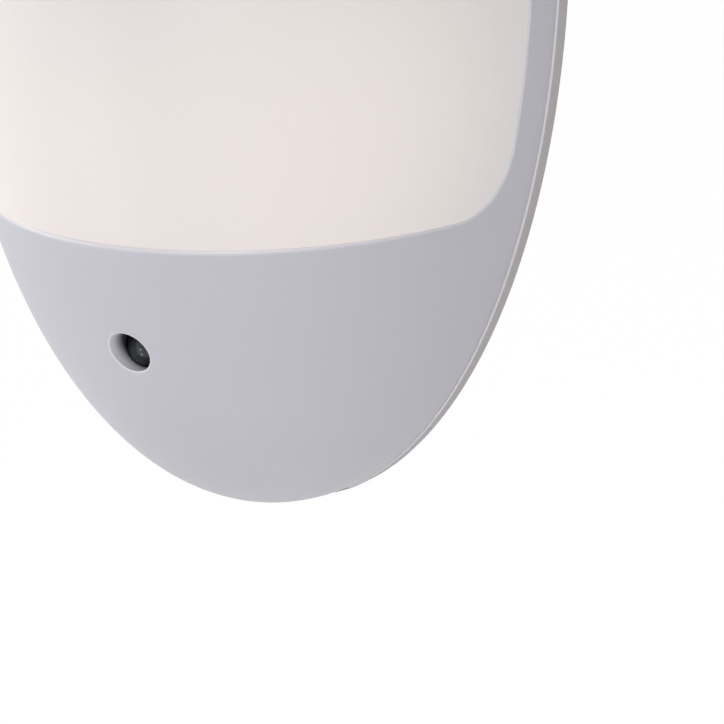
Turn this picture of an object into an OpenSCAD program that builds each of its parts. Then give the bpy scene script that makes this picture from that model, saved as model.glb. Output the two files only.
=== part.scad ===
// Plug in night light with a dusk sensor.
// The body is half of an ellipsoid on a flat back cover. An opal lens fills its upper part, flush
// with the housing, and a dark dome sensor looks out of a bore in the chin.
// The origin is on the back face, midway between the two blades. +Z is up, the front faces -Y and
// the blades point along +Y. "Out" below is a distance from the wall face, so out = -y.

/* [Body] */
// Width of the oval body
body_w = 60; // [59:0.5:68]
// Height of the oval body
body_h = 120; // [116:1:132]
// Depth of the dome in front of the back cover
dome_depth = 38.7; // [37.5:0.1:43]
// Wall of the front housing
housing_wall = 2.2; // [1.8:0.1:2.6]
// Height of the plug's centre above the bottom of the body
plug_rise = 40; // [38:0.5:43]

/* [Back cover] */
// Thickness of the back cover, which shows as the band round the body
cover_t = 2.2; // [1.8:0.1:3]
// How far the cover's edge stands out past the dome
cover_proud = 0.25; // [0.05:0.05:0.4]
// Height of the locating lip inside the housing
lip_h = 2.6; // [2:0.1:3]
// Thickness of the locating lip
lip_t = 1.4; // [1:0.1:1.8]
// Clearance between the lip and the housing
lip_gap = 0.2; // [0.1:0.05:0.4]
// Width of the opening notch in the bottom edge
notch_w = 14; // [10:0.5:18]
// Height of the opening notch
notch_h = 0.9; // [0.6:0.1:1.2]
// Depth of the opening notch into the edge
notch_depth = 1.5; // [1:0.1:2]

/* [Snap hooks] */
// Width of a snap hook
hook_w = 8; // [6:0.5:10]
// Thickness of a snap hook's arm
hook_t = 1.3; // [1:0.1:1.6]
// Height of a hook above the back cover
hook_h = 3.9; // [3.6:0.1:4.1]
// Height of the barb at a hook's tip
barb_h = 1.5; // [1.3:0.1:1.6]
// Height of the ledge that a barb grips
ledge_h = 1; // [0.8:0.1:1.2]
// How far a ledge stands in from the housing's wall
ledge_reach = 1; // [0.8:0.1:1.2]
// How far a ledge runs past each side of its hook
ledge_spare = 1; // [0.5:0.1:1.5]
// Break in the locating lip on each side of a hook
lip_break = 2; // [1.5:0.1:3]
// Height of the side hooks from the middle of the oval
hook_spread = 25; // [20:1:30]

/* [Lens] */
// Height of the housing's chin below the lens
chin_h = 32.9; // [32:0.1:34]
// Depth of the housing's band beside the lens
frame_depth = 5; // [4.5:0.1:5.5]
// Radius of the lens's lower corners, seen from the side
lens_corner_r = 6; // [3:0.1:8]
// Wall of the lens
lens_wall = 2.2; // [1.8:0.1:2.6]
// Clearance between lens and housing
lens_gap = 0.1; // [0.05:0.05:0.2]
// Width of the lens's flange behind the housing
flange_w = 1.8; // [1.2:0.1:2]
// Outer skin of the housing in front of the flange
skin_t = 1.1; // [0.9:0.1:1.3]

/* [Sensor] */
// Height of the sensor above the bottom of the body
sensor_rise = 21.2; // [20.5:0.1:22]
// Bore in front of the sensor
sensor_bore = 4.2; // [3.6:0.1:4.6]
// How far the sensor's tip sits behind the surface
sensor_setback = 2; // [1.8:0.1:3]
// Wall of the shroud round the sensor
shroud_wall = 1.2; // [1:0.1:1.6]
// Clearance between the shroud and the sensor
shroud_gap = 0.2; // [0.1:0.05:0.3]

/* [Dome packages] */
// Diameter of the lamps and the sensor
package_d = 5; // [4.8:0.1:5.1]
// Height of the lamps and the sensor
package_h = 8.6; // [8:0.1:9]
// Diameter of their flange
package_flange_d = 5.8; // [5.6:0.1:6]
// Height of their flange
package_flange_h = 1; // [0.8:0.1:1.2]
// Height of the lamps above the plug's centre
lamp_rise = 2; // [0:0.5:6]
// Spacing of the lamps
lamp_pitch = 9; // [7.5:0.1:10]

/* [Circuit board] */
// Width of the board
board_w = 30; // [28.5:0.5:31]
// Height of the board
board_h = 56; // [54:0.5:58]
// Thickness of the board
board_t = 1.6; // [1:0.1:2]
// Length of board below the sensor
board_below = 6.2; // [5.8:0.1:6.6]
// Diameter of the posts that carry the board
post_d = 5.5; // [5:0.1:6]
// Distance of the upper posts from the board's edges
post_inset = 3.5; // [3.3:0.1:3.7]
// Spacing of the lower posts
low_post_pitch = 18; // [17.5:0.1:19]
// Distance of the lower posts below the sensor
low_post_drop = 2.4; // [2:0.1:2.8]
// Diameter of the locating pins on the lower posts
pin_d = 2.2; // [1.8:0.1:2.4]
// Height of the pins above the board
pin_tip = 0.5; // [0.3:0.1:0.8]
// Radial clearance of screws and pins
hole_gap = 0.1; // [0.05:0.05:0.2]

/* [Reflector] */
// Wall of the reflector
reflector_t = 1.2; // [1:0.1:1.4]
// Clearance of the reflector round the board
reflector_room = 0.8; // [0.5:0.1:0.9]
// Space between the board and the reflector's front
reflector_lift = 2; // [1.9:0.1:2.4]
// Clearance of the reflector in the housing
reflector_gap = 0.5; // [0.3:0.1:0.8]
// Radius of the reflector's front edges
reflector_r = 3; // [2:0.1:4]
// Clearance of the reflector's tray above the hooks
tray_gap = 0.6; // [0.3:0.1:0.8]
// Height of the reflector's screws above the middle of the oval
boss_rise = 32; // [28:1:36]
// Spacing of the reflector's screws
boss_pitch = 28; // [24:1:30]

/* [Screws] */
// Diameter of a screw's shank
screw_d = 2; // [1.8:0.1:2.2]
// Length of a screw under its head
screw_l = 5; // [4:0.1:5.2]
// Diameter of a screw's head
screw_head_d = 4; // [3.6:0.1:4.4]
// Height of a screw's head
screw_head_h = 1.5; // [1.2:0.1:1.7]
// Width of the cross in a screw's head
screw_cross_w = 0.4; // [0.3:0.1:0.6]
// Room under a screw's tip
screw_room = 0.3; // [0.2:0.05:0.35]

/* [Plug] */
// Thickness of a blade
blade_t = 1.5; // [1.4:0.05:1.6]
// Spacing of the blades
blade_pitch = 12.7; // [12.5:0.1:12.9]
// Width of the live blade
live_w = 6.35; // [6.2:0.05:6.5]
// Width of the neutral blade
neutral_w = 7.94; // [7.8:0.02:8.1]
// Length of the blades outside the body
blade_l = 17.5; // [16:0.1:18.2]
// Diameter of the hole in a blade
blade_hole_d = 3.2; // [3:0.1:3.4]
// Distance of that hole from the back face
blade_hole_out = 11.7; // [11.2:0.1:12]
// Chamfer on the tips of the blades
blade_chamfer = 1.2; // [0.8:0.1:1.5]
// Width of the solder tails
tail_w = 4; // [3:0.1:5]
// Length of the solder tails inside the holder's back
tail_l = 2; // [1.5:0.1:3]
// Width of the blade holder
holder_w = 20; // [18:0.5:21]
// Height of the blade holder
holder_h = 11; // [10.5:0.1:12]
// Depth of the blade holder
holder_depth = 7.5; // [7:0.1:8]
// Depth of the shoulder in the holder that stops a blade
shoulder_depth = 5; // [4:0.1:5.5]
// Width of the holder's flange
holder_flange_w = 2; // [1.5:0.1:2.2]
// Thickness of the holder's flange
holder_flange_t = 1.6; // [1.2:0.1:2]
// Clearance round the blades and the holder
plug_gap = 0.05; // [0.02:0.01:0.1]

/* [Wires] */
// Diameter of the two insulated wires
wire_d = 1.6; // [1.2:0.1:1.8]
// Bend radius of the two wires
wire_bend = 2.2; // [1.8:0.1:2.4]
// Height of the wires' solder points above the plug's centre
wire_rise = 9; // [8.8:0.1:9.2]
// Diameter of the legs of the small parts
leg_d = 0.6; // [0.5:0.05:0.8]

/* [Parts on the board] */
// Margin of the parts at the board's edges
edge_room = 1; // [0.8:0.1:1.2]
// Space under the standing parts
stand_off = 1.8; // [1.5:0.1:2]
// Space under the lying parts
lie_off = 0.2; // [0.1:0.05:0.4]
// Length of leg beyond each end of a lying part
leg_reach = 1.9; // [1.6:0.1:2.1]
// Length of the dropper capacitor
dropper_l = 12; // [10:0.5:12.5]
// Width of the dropper capacitor
dropper_w = 6; // [5:0.1:6.2]
// Height of the dropper capacitor
dropper_h = 11.5; // [10:0.1:12]
// Radius of the dropper capacitor's edges
dropper_r = 0.5; // [0.3:0.1:1]
// Diameter of the smoothing capacitor
smoother_d = 8; // [6.3:0.1:8.2]
// Height of the smoothing capacitor
smoother_h = 11.5; // [10:0.1:12]
// Radius of the groove rolled into its can
groove_r = 0.8; // [0.5:0.1:1]
// Height of that groove
groove_h = 1.8; // [1.5:0.1:2.5]
// Distance of the smoothing capacitor above the wires
smoother_clear = 3.5; // [3:0.1:4]
// Diameter of the surge absorber
surge_d = 7; // [6:0.1:7.4]
// Thickness of the surge absorber
surge_t = 3.4; // [3:0.1:3.8]
// Distance of the surge absorber above the wires
surge_clear = 4; // [3.8:0.1:4.2]
// Diameter of the fusible resistor
fuse_d = 3.2; // [2.8:0.1:3.4]
// Length of the fusible resistor
fuse_l = 8; // [7:0.1:8.4]
// Diameter of the small resistors
resistor_d = 2.4; // [2:0.1:2.6]
// Length of the small resistors
resistor_l = 6.3; // [5.8:0.1:6.6]
// Spacing of the three small resistors beside each other
resistor_pitch = 3.2; // [2.8:0.1:3.3]
// Distance of the bleed resistor from the dropper capacitor
bleed_clear = 1.5; // [1.2:0.1:1.6]
// Diameter of the rectifier diodes
diode_d = 2.7; // [2.4:0.1:2.8]
// Length of the rectifier diodes
diode_l = 5.2; // [4.8:0.1:5.6]
// Spacing of the rectifier diodes
diode_pitch = 4; // [3.6:0.1:4.4]
// Diameter of the zener diode
zener_d = 2; // [1.8:0.1:2.2]
// Length of the zener diode
zener_l = 4.2; // [3.8:0.1:4.6]
// Width of the transistor
transistor_w = 4.6; // [4.2:0.1:5]
// Depth of the transistor across its flat
transistor_depth = 3.7; // [3.4:0.1:4]
// Height of the transistor
transistor_h = 4.6; // [4.2:0.1:5]
// Spacing of the transistor's legs
transistor_pitch = 1.27; // [1.2:0.01:1.4]
// Distance of the transistor and the zener diode below the plug's centre
small_part_drop = 9.3; // [9:0.1:9.8]

/* [Hidden] */

half_w = body_w / 2;
half_h = body_h / 2;
body_bottom = -plug_rise;
oval_z = body_bottom + half_h;
unit_r = 10;          // radius that a unit ball or drum is scaled from
far = 200;            // reaches past the whole body
over = 1;             // how far a cut runs past the face that it opens

lens_bottom = body_bottom + chin_h;
frame_out = cover_t + frame_depth;

sensor_z = body_bottom + sensor_rise;
sensor_lip_out = cover_t + dome_depth * sqrt(1 - pow((sensor_z - oval_z) / half_h, 2));
board_front = sensor_lip_out - sensor_setback - package_h;
board_back = board_front - board_t;
board_bottom = sensor_z - board_below;
board_top = board_bottom + board_h;
package_r = package_d / 2;
shroud_r = package_r + shroud_gap;
shroud_foot = board_front + package_flange_h + over;
sensor_tip_out = sensor_lip_out - sensor_setback;
// where the shroud's bore meets the sensor's dome
shroud_seat = shroud_gap + sensor_tip_out - package_r
    + sqrt(pow(package_r, 2) - pow(sensor_bore / 2, 2));

upper_post_x = board_w / 2 - post_inset;
upper_post_z = board_top - post_inset;
low_post_x = low_post_pitch / 2;
low_post_z = sensor_z - low_post_drop;
boss_x = boss_pitch / 2;
boss_z = oval_z + boss_rise;
pilot_r = screw_d / 2 + hole_gap;

// How far the housing's inside leans in at a height above the back cover.
function lean(h) = (half_h - housing_wall) * (1 - sqrt(1 - pow(h / (dome_depth - housing_wall), 2)));
lip_inset = housing_wall + lip_gap + lean(lip_h);
barb_inset = housing_wall + lip_gap + lean(hook_h);
hook_inset = housing_wall + ledge_reach + lip_gap;
hook_top = cover_t + hook_h;
barb_out = hook_top - barb_h;
ledge_out = barb_out - lip_gap - ledge_h;
tray_out = hook_top + tray_gap;

box_inside = board_w / 2 + reflector_room;
box_outside = box_inside + reflector_t;
box_top = board_top + reflector_room;
box_floor = board_front + reflector_lift;
box_front = box_floor + reflector_t;
box_back = cover_t + reflector_gap;
shield_top = lens_bottom - flange_w - tray_gap;
shield_bottom = shield_top - reflector_t;

side_part_x = board_w / 2 - edge_room - fuse_d;
wire_top = wire_rise + wire_d / 2;
smoother_z = wire_top + smoother_clear + smoother_d / 2;
surge_z = wire_top + surge_clear + surge_t / 2;
fuse_z = wire_rise + edge_room;
bleed_z = board_top - edge_room - dropper_w - bleed_clear - resistor_d / 2;

tail_out = holder_depth + tail_l;
blade_x = blade_pitch / 2;

// ---- places ------------------------------------------------------------------------------

// Stands its children on the rear of the board: their +Z points to the wall.
module on_rear(x, z) translate([x, -board_back, z]) rotate([-90, 0, 0]) children();

// Stands its children on the front of the board: their +Z points away from the wall.
module on_front(x, z) translate([x, -board_front, z]) rotate([90, 0, 0]) children();

// Repeats its children on the left and on the right.
module both_sides() for (side = [0, 1]) mirror([side, 0, 0]) children();

// ---- forms that the shells share -----------------------------------------------------------

// The body's ellipsoid, drawn in by an inset all round.
module ball(inset)
    translate([0, -cover_t, oval_z])
        scale([(half_w - inset) / unit_r, (dome_depth - inset) / unit_r, (half_h - inset) / unit_r])
            sphere(r = unit_r, $fn = 128);

// The body's oval as a straight-sided drum between two distances from the wall.
module drum(inset, from, to)
    translate([0, -from, oval_z]) rotate([90, 0, 0])
        scale([(half_w - inset) / unit_r, (half_h - inset) / unit_r, 1])
            cylinder(r = unit_r, h = to - from, $fn = 128);

// Everything farther from the wall than a given distance.
module beyond(distance) translate([-far / 2, -distance - far, -far / 2 + oval_z]) cube(far);

// A straight bar through a span of x, out and z.
module bar(x, outs, zs)
    translate([x[0], -outs[1], zs[0]])
        cube([x[1] - x[0], outs[1] - outs[0], zs[1] - zs[0]]);

// A cylinder along the out direction, centred on a point of the front view.
module rod(d, x, z, from, to)
    translate([x, -from, z]) rotate([90, 0, 0]) cylinder(d = d, h = to - from, $fn = 64);

// The lens's zone, a shape of the side view that runs through the body, grown all round.
module lens_zone(grow) {
    edge = frame_out - grow;
    bottom = lens_bottom - grow;
    r = lens_corner_r + grow;
    rotate([90, 0, -90]) linear_extrude(far, center = true) union() {
        translate([edge + r, bottom]) square([far, far]);
        translate([edge, bottom + r]) square([far, far]);
        translate([edge + r, bottom + r]) circle(r = r, $fn = 64);
    }
}

// A rectangle with round corners.
module rounded_rectangle(w, h, r) union() {
    square([w - 2 * r, h], center = true);
    square([w, h - 2 * r], center = true);
    for (x = [-1, 1], y = [-1, 1])
        translate([x * (w / 2 - r), y * (h / 2 - r)]) circle(r = r, $fn = 32);
}

// ---- shells --------------------------------------------------------------------------------

// Blocks that pick the places of the snap hooks out of a ring.
module hook_places(w) {
    both_sides() for (z = [oval_z - hook_spread, oval_z + hook_spread])
        bar([half_w / 2, half_w], [0, frame_out], [z - w / 2, z + w / 2]);
    bar([-w / 2, w / 2], [0, frame_out], [oval_z + half_h / 2, oval_z + half_h]);
}

// Ledges inside the housing that the barbs grip.
module hook_ledges() intersection() {
    difference() {
        drum(housing_wall / 2, ledge_out, ledge_out + ledge_h);
        drum(housing_wall + ledge_reach, ledge_out - over, ledge_out + ledge_h + over);
    }
    hook_places(hook_w + 2 * ledge_spare);
}

module sensor_shroud() intersection() {
    rod(2 * (shroud_r + shroud_wall), 0, sensor_z, shroud_foot, sensor_lip_out + over);
    ball(housing_wall / 2);
}

module front_housing() color("#b9b8c0") difference() {
    union() {
        difference() {
            intersection() {
                ball(0);
                beyond(cover_t);
            }
            ball(housing_wall);
        }
        sensor_shroud();
        hook_ledges();
    }
    lens_zone(0);
    intersection() {
        lens_zone(flange_w + lens_gap);
        ball(skin_t);
    }
    rod(sensor_bore, 0, sensor_z, board_front, far);
    rod(2 * shroud_r, 0, sensor_z, board_front, shroud_seat);
}

module lens() color("#efe3da") difference() {
    intersection() {
        ball(0);
        lens_zone(flange_w);
    }
    ball(lens_wall);
    // leaves no more than the flange outside the housing's opening
    difference() {
        beyond(0);
        ball(skin_t + lens_gap);
        lens_zone(-lens_gap);
    }
}

module locating_lip() difference() {
    drum(lip_inset, cover_t, cover_t + lip_h);
    drum(lip_inset + lip_t, 0, cover_t + lip_h + over);
    hook_places(hook_w + 2 * lip_break);
}

module hooks() intersection() {
    difference() {
        union() {
            drum(hook_inset, cover_t, hook_top);
            drum(barb_inset, barb_out, hook_top);
        }
        drum(hook_inset + hook_t, 0, hook_top + over);
    }
    hook_places(hook_w);
}

module board_posts() both_sides() {
    rod(post_d, upper_post_x, upper_post_z, cover_t, board_back);
    rod(post_d, low_post_x, low_post_z, cover_t, board_back);
    rod(pin_d, low_post_x, low_post_z, board_back, board_front + pin_tip);
}

module back_cover() color("#b0adb2") difference() {
    union() {
        drum(-cover_proud, 0, cover_t);
        locating_lip();
        hooks();
        board_posts();
        both_sides() rod(post_d, boss_x, boss_z, cover_t, tray_out);
    }
    both_sides() {
        rod(2 * pilot_r, upper_post_x, upper_post_z, board_front - screw_l - screw_room, board_front);
        rod(2 * pilot_r, boss_x, boss_z, tray_out + reflector_t - screw_l - screw_room, tray_out + over);
    }
    bar(
        [-holder_w / 2 - plug_gap, holder_w / 2 + plug_gap], [-over, cover_t + over],
        [-holder_h / 2 - plug_gap, holder_h / 2 + plug_gap]
    );
    bar(
        [-notch_w / 2, notch_w / 2], [cover_t - notch_h, cover_t + over],
        [body_bottom - cover_proud - over, body_bottom + notch_depth]
    );
}

// The tray that shows white through the lens: an oval plate, a box over the board and a wall
// that keeps the lamps' light away from the sensor.
module reflector() color("#f4f3ef") difference() {
    union() {
        intersection() {
            ball(housing_wall + reflector_gap);
            union() {
                bar([-far, far], [tray_out, tray_out + reflector_t], [shield_bottom, far]);
                bar([-far, far], [tray_out, far], [shield_bottom, shield_top]);
            }
        }
        translate([0, 0, shield_bottom]) linear_extrude(box_top + reflector_t - shield_bottom)
            box_outline(box_outside, box_back, box_front, reflector_r);
    }
    translate([0, 0, shield_bottom - over]) linear_extrude(box_top - shield_bottom + over)
        box_outline(box_inside, box_back - over, box_floor, reflector_r - reflector_t);
    for (i = [-1:1]) rod(package_flange_d + 2 * shroud_gap, i * lamp_pitch, lamp_rise, 0, far);
    both_sides() rod(2 * pilot_r, boss_x, boss_z, 0, far);
}

// The reflector's box seen from above, with two round corners on the side away from the wall.
module box_outline(half, back, front, r) translate([0, -front]) union() {
    translate([-half, r]) square([2 * half, front - back - r]);
    translate([-half + r, 0]) square([2 * (half - r), 2 * r]);
    for (x = [-1, 1]) translate([x * (half - r), r]) circle(r = r, $fn = 32);
}

// ---- plug ------------------------------------------------------------------------------------

// A blade's flat outline: a chamfered tip, a shoulder and a narrow solder tail.
module blade_outline(w, grow, tail_end) {
    y = w / 2 + grow;
    tail = tail_w / 2 + grow;
    polygon([
        [blade_l, y - blade_chamfer], [blade_l - blade_chamfer, y],
        [-shoulder_depth - grow, y], [-shoulder_depth - grow, tail], [-tail_end, tail],
        [-tail_end, -tail], [-shoulder_depth - grow, -tail], [-shoulder_depth - grow, -y],
        [blade_l - blade_chamfer, -y], [blade_l, -y + blade_chamfer]
    ]);
}

// A blade's edge view: its tip is thinned on both faces.
module blade_edge() polygon([
    [-far, -blade_t / 2], [blade_l - blade_chamfer, -blade_t / 2],
    [blade_l, -blade_t / 4], [blade_l, blade_t / 4],
    [blade_l - blade_chamfer, blade_t / 2], [-far, blade_t / 2]
]);

// Turns a flat shape drawn as (towards the wall, up) so that it faces along X.
module facing_x(t) rotate([90, 0, 90]) linear_extrude(t, center = true) children();

module blade(w) difference() {
    intersection() {
        facing_x(blade_t) blade_outline(w, 0, tail_out);
        linear_extrude(far, center = true) rotate(90) blade_edge();
    }
    translate([0, blade_hole_out, 0]) rotate([0, 90, 0])
        cylinder(d = blade_hole_d, h = 2 * blade_t, center = true, $fn = 48);
}

module live_blade() color("#c9c3b4") translate([blade_x, 0, 0]) blade(live_w);

module neutral_blade() color("#c9c3b4") translate([-blade_x, 0, 0]) blade(neutral_w);

module blade_holder() color("#e4e2dd") difference() {
    union() {
        bar([-holder_w / 2, holder_w / 2], [0, holder_depth], [-holder_h / 2, holder_h / 2]);
        bar(
            [-holder_w / 2 - holder_flange_w, holder_w / 2 + holder_flange_w],
            [cover_t, cover_t + holder_flange_t],
            [-holder_h / 2 - holder_flange_w, holder_h / 2 + holder_flange_w]
        );
    }
    translate([blade_x, 0, 0]) blade_slot(live_w);
    translate([-blade_x, 0, 0]) blade_slot(neutral_w);
}

module blade_slot(w) facing_x(blade_t + 2 * plug_gap) blade_outline(w, plug_gap, tail_out + over);

// An insulated wire from a blade's tail to the board: out, up and out again.
module wire(x) {
    straight = (board_back - tail_out) / 2 - wire_bend;
    r = wire_d / 2;
    translate([x, -tail_out, 0]) {
        rotate([90, 0, 0]) cylinder(r = r, h = straight, $fn = 24);
        translate([0, -straight, wire_bend]) rotate([0, 90, 0]) rotate([180, 0, 0])
            quarter_bend(wire_bend, r);
        translate([0, -straight - wire_bend, wire_bend])
            cylinder(r = r, h = wire_rise - 2 * wire_bend, $fn = 24);
        translate([0, -straight - 2 * wire_bend, wire_rise - wire_bend]) rotate([90, 0, 90])
            quarter_bend(wire_bend, r);
        translate([0, -straight - 2 * wire_bend, wire_rise]) rotate([90, 0, 0])
            cylinder(r = r, h = straight, $fn = 24);
    }
}

module quarter_bend(bend, r)
    rotate_extrude(angle = 90, $fn = 48) translate([bend, 0]) circle(r = r, $fn = 24);

module live_wire() color("#2b2b2b") wire(blade_x);

module neutral_wire() color("#e9e9e6") wire(-blade_x);

// ---- board -----------------------------------------------------------------------------------

module circuit_board() color("#c9a66b") difference() {
    intersection() {
        bar([-board_w / 2, board_w / 2], [board_back, board_front], [board_bottom, board_top]);
        ball(housing_wall + reflector_gap);
    }
    both_sides() {
        rod(2 * pilot_r, upper_post_x, upper_post_z, 0, far);
        rod(pin_d + 2 * hole_gap, low_post_x, low_post_z, 0, far);
    }
}

// A lamp or sensor: a domed drum on a flange.
module dome_package() rotate_extrude($fn = 64) union() {
    square([package_flange_d / 2, package_flange_h]);
    square([package_r, package_h - package_r]);
    intersection() {
        translate([0, package_h - package_r]) circle(r = package_r, $fn = 64);
        translate([0, package_h - package_r]) square(package_r);
    }
}

module light_sensor() color("#1d2322") on_front(0, sensor_z) dome_package();

module lamp(place) color("#fbf3d6") on_front(place * lamp_pitch, lamp_rise) dome_package();

// A part that lies on the board with a leg bent down at each end.
module axial_part(d, l, span) {
    lift = d / 2 + lie_off;
    translate([0, 0, lift]) rotate([0, 90, 0]) cylinder(d = d, h = l, center = true, $fn = 32);
    translate([0, 0, lift]) rotate([0, 90, 0]) cylinder(d = leg_d, h = span, center = true, $fn = 16);
    for (x = [-span / 2, span / 2]) {
        translate([x, 0, lift]) sphere(d = leg_d, $fn = 16);
        translate([x, 0, 0]) cylinder(d = leg_d, h = lift, $fn = 16);
    }
}

module dropper_capacitor() color("#c8a23c")
    on_rear(0, board_top - edge_room - dropper_w / 2)
        linear_extrude(dropper_h) rounded_rectangle(dropper_l, dropper_w, dropper_r);

module smoothing_capacitor() color("#22303c")
    on_rear(board_w / 2 - edge_room - smoother_d / 2, smoother_z) rotate_extrude($fn = 64)
    difference() {
        square([smoother_d / 2, smoother_h]);
        translate([(smoother_d + groove_r) / 2, groove_h]) circle(r = groove_r, $fn = 32);
    }

module surge_absorber() color("#2f6fa8") on_rear(-edge_room, surge_z) {
    translate([0, surge_t / 2, surge_d / 2 + stand_off]) rotate([90, 0, 0])
        cylinder(d = surge_d, h = surge_t, $fn = 48);
    for (x = [-surge_d / 4, surge_d / 4])
        translate([x, 0, 0]) cylinder(d = leg_d, h = surge_d / 2, $fn = 16);
}

module fusible_resistor() color("#5f8f6a")
    on_rear(-side_part_x, fuse_z) rotate(90) axial_part(fuse_d, fuse_l, fuse_l + 2 * leg_reach);

module bleed_resistor() color("#c9b18a")
    on_rear(-resistor_l, bleed_z) axial_part(resistor_d, resistor_l, resistor_l + 2 * leg_reach);

module rectifier_diode(place) color("#2a2a2c")
    on_rear(place * diode_pitch, 0) rotate(90) axial_part(diode_d, diode_l, diode_l + 2 * leg_reach);

module zener_diode() color("#b5502e")
    on_rear(-side_part_x + zener_l / 2 + leg_reach, -small_part_drop)
        axial_part(zener_d, zener_l, zener_l + 2 * leg_reach);

module transistor() color("#26262a") on_rear(side_part_x - transistor_w / 2, -small_part_drop) {
    translate([0, 0, stand_off]) intersection() {
        cylinder(d = transistor_w, h = transistor_h, $fn = 48);
        translate([-transistor_w / 2, -transistor_w / 2, 0])
            cube([transistor_w, transistor_depth, transistor_h]);
    }
    for (x = [-1, 0, 1]) translate([x * transistor_pitch, 0, 0])
        cylinder(d = leg_d, h = 2 * stand_off, $fn = 16);
}

module bias_resistor(place) color("#c9b18a")
    on_rear(0, sensor_z + resistor_pitch / 2 + place * resistor_pitch)
        axial_part(resistor_d, resistor_l, resistor_l + 2 * leg_reach);

module board_screws() color("#c4c6c8") both_sides() on_front(upper_post_x, upper_post_z) screw();

module reflector_screws() color("#c4c6c8") both_sides()
    translate([boss_x, -tray_out - reflector_t, boss_z]) rotate([90, 0, 0]) screw();

module screw() difference() {
    union() {
        cylinder(d = screw_head_d, h = screw_head_h, $fn = 48);
        translate([0, 0, -screw_l]) cylinder(d = screw_d, h = screw_l, $fn = 32);
    }
    for (turn = [0, 90]) rotate(turn) translate([-screw_d / 2, -screw_cross_w / 2, screw_head_h / 2])
        cube([screw_d, screw_cross_w, screw_head_h]);
}

front_housing();
lens();
back_cover();
blade_holder();
live_blade();
neutral_blade();
circuit_board();
light_sensor();
for (i = [1:3]) lamp(i - 2);
reflector();
dropper_capacitor();
smoothing_capacitor();
surge_absorber();
fusible_resistor();
bleed_resistor();
for (i = [1:4]) rectifier_diode(i - 2.5);
zener_diode();
transistor();
for (i = [1:3]) bias_resistor(i - 2);
live_wire();
neutral_wire();
board_screws();
reflector_screws();
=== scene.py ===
# %% [markdown]
# # A plug in night light
# The real object is a plug in night light with a dusk sensor: half an ellipsoid of silver-grey plastic
# on a flat oval back cover, an opal lens let into its upper part, a small bore in the chin that a dark
# sensor looks out of, and two blades on the back that hold it in a wall outlet.
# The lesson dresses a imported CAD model. The model is loaded first and stays where it is. The shells that
# show get finely rounded edges in meshes of their own, and every CAD piece gets its real material.

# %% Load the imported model
import math

import bmesh
import bpy
from mathutils import Matrix, Vector


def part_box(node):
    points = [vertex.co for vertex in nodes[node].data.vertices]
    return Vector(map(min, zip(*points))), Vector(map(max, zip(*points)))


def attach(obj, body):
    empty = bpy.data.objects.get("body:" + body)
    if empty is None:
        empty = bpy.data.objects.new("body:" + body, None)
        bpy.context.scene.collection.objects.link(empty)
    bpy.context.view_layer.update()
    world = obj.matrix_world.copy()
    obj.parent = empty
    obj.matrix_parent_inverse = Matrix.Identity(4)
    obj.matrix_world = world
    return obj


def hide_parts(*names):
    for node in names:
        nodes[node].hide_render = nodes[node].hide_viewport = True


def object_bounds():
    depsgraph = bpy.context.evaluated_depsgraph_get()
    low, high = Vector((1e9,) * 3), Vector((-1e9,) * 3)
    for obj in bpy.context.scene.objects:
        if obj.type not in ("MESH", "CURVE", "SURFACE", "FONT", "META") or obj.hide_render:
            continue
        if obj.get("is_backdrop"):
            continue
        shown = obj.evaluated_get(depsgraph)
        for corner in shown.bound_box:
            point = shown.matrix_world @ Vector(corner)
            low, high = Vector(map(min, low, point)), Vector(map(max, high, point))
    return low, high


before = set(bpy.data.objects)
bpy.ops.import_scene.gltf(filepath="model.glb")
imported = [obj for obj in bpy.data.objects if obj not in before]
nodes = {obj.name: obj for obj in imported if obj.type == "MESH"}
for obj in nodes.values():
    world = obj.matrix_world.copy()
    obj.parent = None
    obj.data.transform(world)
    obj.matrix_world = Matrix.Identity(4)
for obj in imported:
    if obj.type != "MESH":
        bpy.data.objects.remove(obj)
cad_low, cad_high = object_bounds()
MM = 0.001
print("nodes:", len(nodes), "box in mm:", [round((b - a) / MM, 1) for a, b in zip(cad_low, cad_high)])

# %% [markdown]
# ## Camera
# The photograph was taken with a long lens from about 30 degrees to the right and 15 degrees above, and
# shows only the lower part of the light. A camera is a place, a turn and a focal length. The place is
# worked out from the point it looks at, its two angles and its distance, because these are easier to
# set against a picture than three coordinates.

# %% Camera
CAMERA_AZIMUTH = math.radians(29.61)
CAMERA_ELEVATION = math.radians(15.30)
# mm from the camera to the point it looks at, and the focal length and film width in mm
CAMERA_DISTANCE = 900.0
CAMERA_LENS = 466.8
SENSOR_WIDTH = 36.0
to_right = Vector((math.cos(CAMERA_AZIMUTH), math.sin(CAMERA_AZIMUTH), 0))
to_camera = Vector((
    math.sin(CAMERA_AZIMUTH) * math.cos(CAMERA_ELEVATION),
    -math.cos(CAMERA_AZIMUTH) * math.cos(CAMERA_ELEVATION),
    math.sin(CAMERA_ELEVATION),
))
upwards = to_camera.cross(to_right)
# the picture's middle (mm) lies to the right of and below the middle of the body's oval
BODY_MIDDLE = Vector((0, -2.2, 20.0))
VIEW_RIGHT, VIEW_DOWN = 7.443, 45.057
look_at = BODY_MIDDLE + VIEW_RIGHT * to_right - VIEW_DOWN * upwards

camera = bpy.data.objects.new("camera", bpy.data.cameras.new("camera"))
bpy.context.scene.collection.objects.link(camera)
camera.data.sensor_fit = "HORIZONTAL"
camera.data.sensor_width = SENSOR_WIDTH
camera.data.lens = CAMERA_LENS
camera.data.clip_start, camera.data.clip_end = 0.01, 50
camera.location = (look_at + CAMERA_DISTANCE * to_camera) * MM
camera.rotation_euler = Matrix((to_right, upwards, to_camera)).transposed().to_euler()
bpy.context.scene.camera = camera
print("camera at (mm):", [round(c / MM) for c in camera.location])

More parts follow.
